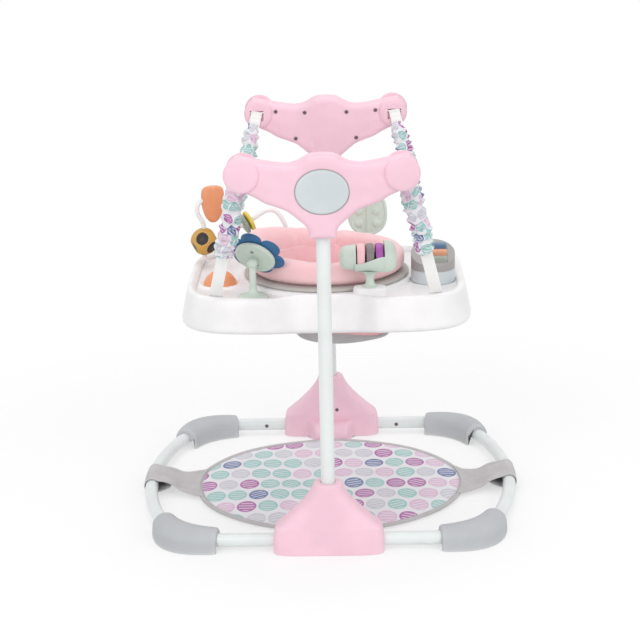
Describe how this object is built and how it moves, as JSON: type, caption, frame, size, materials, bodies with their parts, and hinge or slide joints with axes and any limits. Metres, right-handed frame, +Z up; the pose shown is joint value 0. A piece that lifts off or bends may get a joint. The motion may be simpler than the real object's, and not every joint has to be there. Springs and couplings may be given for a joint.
{
  "type": "baby jumper frame",
  "caption": "Free-standing activity jumper: posts on a tubular ring base carry a spring-hung tray with a turning padded seat, toys round the rim and a round foot mat.",
  "frame": {"origin": "on the floor, midway between the two posts and in the middle of the base ring", "axes": "+X to the right and +Y to the back as seen from the front post, +Z up"},
  "size_m": [0.8182, 0.796, 0.811],
  "materials": {
    "tube_paint": "satin",
    "pink_plastic": "soft gloss",
    "grey_plastic": "matte",
    "badge_grey": "satin",
    "screw_dark": "satin",
    "spring_steel": "bright",
    "webbing": "woven",
    "sleeve_cloth": "gathered print",
    "mat_cloth": "printed, padded",
    "wing_cloth": "woven",
    "tray_white": "soft gloss",
    "ring_taupe": "matte",
    "seat_cloth": "padded",
    "sage_plastic": "soft gloss",
    "blue_plastic": "soft gloss",
    "roller_coral": "soft gloss",
    "roller_dark": "soft gloss",
    "roller_violet": "soft gloss",
    "orange_plastic": "soft gloss",
    "ochre_plastic": "soft gloss",
    "pod_grey": "satin"
  },
  "bodies": {
    "frame": {"base_tube_left": "tube_paint", "base_tube_right": "tube_paint", "post_front": "tube_paint", "post_back": "tube_paint", "base_housing_front": "pink_plastic", "base_housing_back": "pink_plastic", "post_sleeves": "pink_plastic", "head_outer_front": "pink_plastic", "head_inner_front": "pink_plastic", "head_outer_back": "pink_plastic", "head_inner_back": "pink_plastic", "hub_caps": "pink_plastic", "strap_guides": "pink_plastic", "base_plates": "grey_plastic", "foot_front_left": "grey_plastic", "foot_front_right": "grey_plastic", "foot_back_left": "grey_plastic", "foot_back_right": "grey_plastic", "badge_front": "badge_grey", "badge_back": "badge_grey", "base_screws": "screw_dark", "head_screws": "screw_dark", "strap_pins": "spring_steel", "bounce_springs": "spring_steel", "strap_tops": "webbing", "cloth_sleeve_front_left": "sleeve_cloth", "cloth_sleeve_front_right": "sleeve_cloth", "cloth_sleeve_back_left": "sleeve_cloth", "cloth_sleeve_back_right": "sleeve_cloth", "foot_mat": "mat_cloth", "mat_wing_left": "wing_cloth", "mat_wing_right": "wing_cloth"},
    "tray": {"tray_body": "tray_white", "tray_deck": "tray_white", "strap_tails": "webbing", "strap_buckles": "grey_plastic", "flower_stand": "sage_plastic", "roller_stand": "sage_plastic", "roller_shaft": "spring_steel", "ball_cup": "tray_white", "bead_arch": "tray_white", "pod_base": "pod_grey", "pod_cover": "ring_taupe"},
    "seat": {"seat_ring": "ring_taupe", "seat_bumper": "seat_cloth", "seat_sling": "seat_cloth"},
    "flower": {"flower_petals": "blue_plastic", "flower_back": "sage_plastic"},
    "roller_pink": {"roller_pink": "roller_coral"},
    "roller_grey": {"roller_grey": "roller_dark"},
    "roller_purple": {"roller_purple": "roller_violet"},
    "leaf": {"leaf_toy": "sage_plastic"},
    "ball": {"spin_ball": "orange_plastic"},
    "cage": {"bead_ball": "ochre_plastic"},
    "bead_leaf": {"bead_leaf": "orange_plastic"},
    "bead_yellow": {"bead_yellow": "ochre_plastic"},
    "bead_sage": {"bead_sage": "sage_plastic"},
    "key_sage": {"pod_key_sage": "sage_plastic"},
    "key_orange": {"pod_key_orange": "orange_plastic"},
    "key_blue": {"pod_key_blue": "blue_plastic"}
  },
  "joints": [
    {"name": "bounce", "type": "slide", "parent": "frame", "child": "tray", "axis": [0, 0, 1], "range_m": [-0.09, 0.02], "stiffness_N_per_m": 1100, "springref_m": 0.0409, "deforming": ["bounce_springs", "cloth_sleeve_front_left", "cloth_sleeve_front_right", "cloth_sleeve_back_left", "cloth_sleeve_back_right"]},
    {"name": "seat_turn", "type": "hinge", "parent": "tray", "child": "seat", "pos_m": [0, 0, 0.4885], "axis": [0, 0, 1], "continuous": true},
    {"name": "flower_spin", "type": "hinge", "parent": "tray", "child": "flower", "pos_m": [-0.141, -0.1575, 0.566], "axis": [0.3031, 0.7501, 0.5878], "continuous": true},
    {"name": "roller_pink_spin", "type": "hinge", "parent": "tray", "child": "roller_pink", "pos_m": [0.091, -0.184, 0.565], "axis": [0.9986, 0.0523, 0], "continuous": true},
    {"name": "roller_grey_spin", "type": "hinge", "parent": "tray", "child": "roller_grey", "pos_m": [0.091, -0.184, 0.565], "axis": [0.9986, 0.0523, 0], "continuous": true},
    {"name": "roller_purple_spin", "type": "hinge", "parent": "tray", "child": "roller_purple", "pos_m": [0.091, -0.184, 0.565], "axis": [0.9986, 0.0523, 0], "continuous": true},
    {"name": "leaf_swing", "type": "hinge", "parent": "tray", "child": "leaf", "pos_m": [0.091, 0.1815, 0.48], "axis": [0, 0, 1], "range_deg": [-30, 30]},
    {"name": "ball_spin", "type": "hinge", "parent": "tray", "child": "ball", "pos_m": [-0.224, -0.06, 0.474], "axis": [0, 1, 0], "continuous": true},
    {"name": "cage_spin", "type": "hinge", "parent": "tray", "child": "cage", "pos_m": [-0.26822, 0.10731, 0.534], "axis": [0, 0, 1], "continuous": true},
    {"name": "bead_leaf_spin", "type": "hinge", "parent": "tray", "child": "bead_leaf", "pos_m": [-0.24727, 0.11535, 0.62445], "axis": [0.9336, 0.3584, 0], "continuous": true},
    {"name": "bead_yellow_spin", "type": "hinge", "parent": "tray", "child": "bead_yellow", "pos_m": [-0.17046, 0.14484, 0.57], "axis": [0.8456, 0.3246, 0.4238], "continuous": true},
    {"name": "bead_sage_spin", "type": "hinge", "parent": "tray", "child": "bead_sage", "pos_m": [-0.18093, 0.14082, 0.56475], "axis": [0.8456, 0.3246, 0.4238], "continuous": true},
    {"name": "key_sage_press", "type": "slide", "parent": "tray", "child": "key_sage", "axis": [0, 0, -1], "range_m": [0, 0.003], "stiffness_N_per_m": 300, "springref_m": -0.002},
    {"name": "key_orange_press", "type": "slide", "parent": "tray", "child": "key_orange", "axis": [0, 0, -1], "range_m": [0, 0.003], "stiffness_N_per_m": 300, "springref_m": -0.002},
    {"name": "key_blue_press", "type": "slide", "parent": "tray", "child": "key_blue", "axis": [0, 0, -1], "range_m": [0, 0.003], "stiffness_N_per_m": 300, "springref_m": -0.002}
  ]
}
